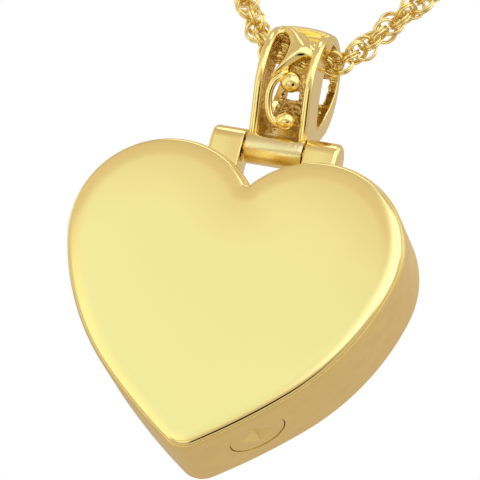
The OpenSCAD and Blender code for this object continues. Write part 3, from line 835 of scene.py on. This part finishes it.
def link_tree():
    """Geometry Nodes that set a double ring on every point of a route, rolled on from the last."""
    tree = bpy.data.node_groups.new("rope_links", "GeometryNodeTree")
    socket(tree, "NodeSocketGeometry", "Geometry", None)
    socket(tree, "NodeSocketFloat", "Length radius", LINK_LONG * MM)
    socket(tree, "NodeSocketFloat", "Width radius", LINK_WIDE * MM)
    socket(tree, "NodeSocketFloat", "Wire radius", WIRE_R * MM)
    socket(tree, "NodeSocketFloat", "Wire spacing", WIRE_APART * MM)
    socket(tree, "NodeSocketFloat", "Roll", LINK_ROLL)
    socket(tree, "NodeSocketFloat", "First roll", 0.0)
    socket(tree, "NodeSocketInt", "Ring sides", 24)
    socket(tree, "NodeSocketInt", "Wire sides", 8)
    socket(tree, "NodeSocketMaterial", "Finish", None)
    socket(tree, "NodeSocketGeometry", "Geometry", None, out=True)
    given = add(tree, "NodeGroupInput").outputs
    ring = add(tree, "GeometryNodeCurvePrimitiveCircle", [("Resolution", given["Ring sides"])])
    ring.mode = "RADIUS"
    ring.inputs["Radius"].default_value = 1.0
    size = add(tree, "ShaderNodeCombineXYZ", [
        ("X", given["Width radius"]), ("Y", given["Length radius"])
    ], Z=1.0)
    oval = add(tree, "GeometryNodeTransform", [("Geometry", ring.outputs[0]), ("Scale", size.outputs[0])])
    wire = add(tree, "GeometryNodeCurvePrimitiveCircle", [
        ("Resolution", given["Wire sides"]), ("Radius", given["Wire radius"])
    ])
    tube = add(tree, "GeometryNodeCurveToMesh", [
        ("Curve", oval.outputs[0]), ("Profile Curve", wire.outputs[0])
    ])
    pair = add(tree, "GeometryNodeJoinGeometry")
    for side in (1, -1):
        shift = add(tree, "ShaderNodeMath", [(0, given["Wire spacing"])], operation="MULTIPLY")
        shift.inputs[1].default_value = side
        way = add(tree, "ShaderNodeCombineXYZ", [("Z", shift.outputs[0])])
        wound = add(tree, "GeometryNodeTransform", [
            ("Geometry", tube.outputs[0]), ("Translation", way.outputs[0])
        ])
        tree.links.new(wound.outputs[0], pair.inputs[0])
    # stand the ring up: its length runs along Z, its width along X, its axis along Y
    stood = add(tree, "GeometryNodeTransform", [("Geometry", pair.outputs[0])])
    stood.inputs["Rotation"].default_value = (math.pi / 2, 0, 0)
    placed = add(tree, "GeometryNodeTransform", [("Geometry", stood.outputs[0])])
    placed.inputs["Rotation"].default_value = (-LINK_TILT, 0, 0)
    placed.inputs["Translation"].default_value = (
        LINK_OFF * MM, LINK_SIDE * MM * math.cos(LINK_TILT), -LINK_SIDE * MM * math.sin(LINK_TILT)
    )
    line = add(tree, "GeometryNodeMeshToCurve", [(0, given["Geometry"])])
    along = add(tree, "GeometryNodeInputTangent")
    number = add(tree, "GeometryNodeInputIndex")
    total = add(tree, "ShaderNodeMath", [(0, number.outputs[0]), (1, given["Roll"])], operation="MULTIPLY")
    roll = add(tree, "ShaderNodeMath", [(0, total.outputs[0]), (1, given["First roll"])], operation="ADD")
    spin = add(tree, "FunctionNodeAxisAngleToRotation", [("Angle", roll.outputs[0])])
    spin.inputs["Axis"].default_value = (0, 0, 1)
    face = add(tree, "FunctionNodeAlignRotationToVector", [
        ("Vector", along.outputs[0])
    ], axis="Z", pivot_axis="Y")
    turn = add(tree, "FunctionNodeRotateRotation", [
        ("Rotation", face.outputs[0]), ("Rotate By", spin.outputs[0])
    ])
    turn.rotation_space = "LOCAL"
    strung = add(tree, "GeometryNodeInstanceOnPoints", [
        ("Points", line.outputs[0]), ("Instance", placed.outputs[0]), ("Rotation", turn.outputs[0])
    ])
    real = add(tree, "GeometryNodeRealizeInstances", [(0, strung.outputs[0])])
    smooth = add(tree, "GeometryNodeSetShadeSmooth", [(0, real.outputs[0])])
    coat = add(tree, "GeometryNodeSetMaterial", [
        ("Geometry", smooth.outputs[0]), ("Material", given["Finish"])
    ])
    result = add(tree, "NodeGroupOutput")
    tree.links.new(coat.outputs[0], result.inputs[0])
    return tree


# %% The links along the chain
links = link_tree()


def strung_links(name, first, last, ring_sides, wire_sides):
    """The links from first up to last as one plain mesh."""
    data = bpy.data.meshes.new(name)
    points = [(x * MM, y * MM, (HANG_Z + z) * MM) for x, y, z in spots[first:last]]
    data.from_pydata(points, [(i, i + 1) for i in range(len(points) - 1)], [])
    made = bpy.data.objects.new(name, data)
    bpy.context.scene.collection.objects.link(made)
    step = made.modifiers.new("links", "NODES")
    step.node_group = links
    wanted = {
        "Ring sides": ring_sides, "Wire sides": wire_sides, "Finish": wire_gold,
        "First roll": (first * LINK_ROLL) % math.tau
    }
    for item in links.interface.items_tree:
        if item.in_out == "INPUT" and item.name in wanted:
            step[item.identifier] = wanted[item.name]
    graph = bpy.context.evaluated_depsgraph_get()
    made.data = bpy.data.meshes.new_from_object(made.evaluated_get(graph))
    made.modifiers.clear()
    bpy.data.meshes.remove(data)
    made.data.name = name
    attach(made, "necklace")
    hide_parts("chain")
    print(name, "faces:", len(made.data.polygons))
    return made


half = len(spots) // 2
near = 16
strung_links("links_at_the_bail", half - near, half + near + 1, 36, 10)
strung_links("links_left", 0, half - near, 12, 5)
strung_links("links_right", half + near + 1, len(spots), 12, 5)

# %% [markdown]
# A spring ring clasp closes the necklace behind the neck. Its thick tube hides a spring; a thinner bolt
# bridges the gap and a small knob on the tube draws it back. A soldered eye on each side holds the chain.

# %% The clasp
CLASP_R, TUBE_R, BOLT_R, CLASP_MID = 2.55, 0.65, 0.45, 3.2
GAP_START, GAP_END = math.radians(12), math.radians(48)


def bent_tube(start, end, radius, steps, sides=28):
    """A closed piece of a round tube bent to the clasp's ring, between two angles from the right."""
    mesh = bmesh.new()
    rows = []
    for i in range(steps + 1):
        a = start + (end - start) * i / steps
        rows.append([mesh.verts.new((
            (CLASP_R + radius * math.cos(b)) * math.cos(a), radius * math.sin(b),
            CLASP_MID + (CLASP_R + radius * math.cos(b)) * math.sin(a)
        )) for b in [math.tau * j / sides for j in range(sides)]])
    for a, b in zip(rows, rows[1:]):
        for j in range(sides):
            mesh.faces.new((a[j], a[(j + 1) % sides], b[(j + 1) % sides], b[j]))
    for row in (rows[0], rows[-1]):
        face = mesh.faces.new(row)
        bmesh.ops.bevel(mesh, geom=list(face.edges), offset=0.06, segments=2, profile=0.5, affect="EDGES")
    bmesh.ops.recalc_face_normals(mesh, faces=mesh.faces)
    return mesh


def add_part(whole, mesh, place=None):
    """Adds one bmesh to another, moved to its place."""
    if place:
        mesh.transform(place)
    data = bpy.data.meshes.new("part")
    mesh.to_mesh(data)
    mesh.free()
    whole.from_mesh(data)
    bpy.data.meshes.remove(data)


def small_ring(radius, wire_r):
    """A closed ring of round wire about Z."""
    turns = [math.tau * i / 14 for i in range(15)]
    mesh = turned([(radius + wire_r * math.cos(a), wire_r * math.sin(a)) for a in turns], 40)
    bmesh.ops.remove_doubles(mesh, verts=mesh.verts, dist=1e-5)
    bmesh.ops.recalc_face_normals(mesh, faces=mesh.faces)
    return mesh


LEVER_LEAN, KNOB_AT, KNOB_R, STEM_R = math.radians(30), 1.5, 0.4, 0.2
EYE_AT, EYE_R, EYE_WIRE = 3.42, 0.42, 0.14
whole = bmesh.new()
add_part(whole, bent_tube(GAP_END, GAP_START + math.tau, TUBE_R, 96))
add_part(whole, bent_tube(GAP_START - 0.1, GAP_END + 0.1, BOLT_R, 16))
lever = Matrix.Translation((0, 0, CLASP_MID + CLASP_R)) @ Matrix.Rotation(LEVER_LEAN, 4, "Y")
add_part(whole, turned([(0, 0), (STEM_R, 0), (STEM_R, KNOB_AT), (0, KNOB_AT)], 24), lever)
knob = [(KNOB_R * math.sin(a), KNOB_AT - KNOB_R * math.cos(a)) for a in [math.pi * i / 16 for i in range(17)]]
add_part(whole, turned(knob, 32), lever)
for side in (1, -1):
    add_part(whole, small_ring(EYE_R, EYE_WIRE), Matrix.Translation((side * EYE_AT, 0, CLASP_MID)))
clasp = finished("spring_ring", whole, Matrix.Scale(MM, 4), [cast_gold], "necklace", sharp=50)
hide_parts("clasp")
print("clasp faces:", len(clasp.data.polygons))
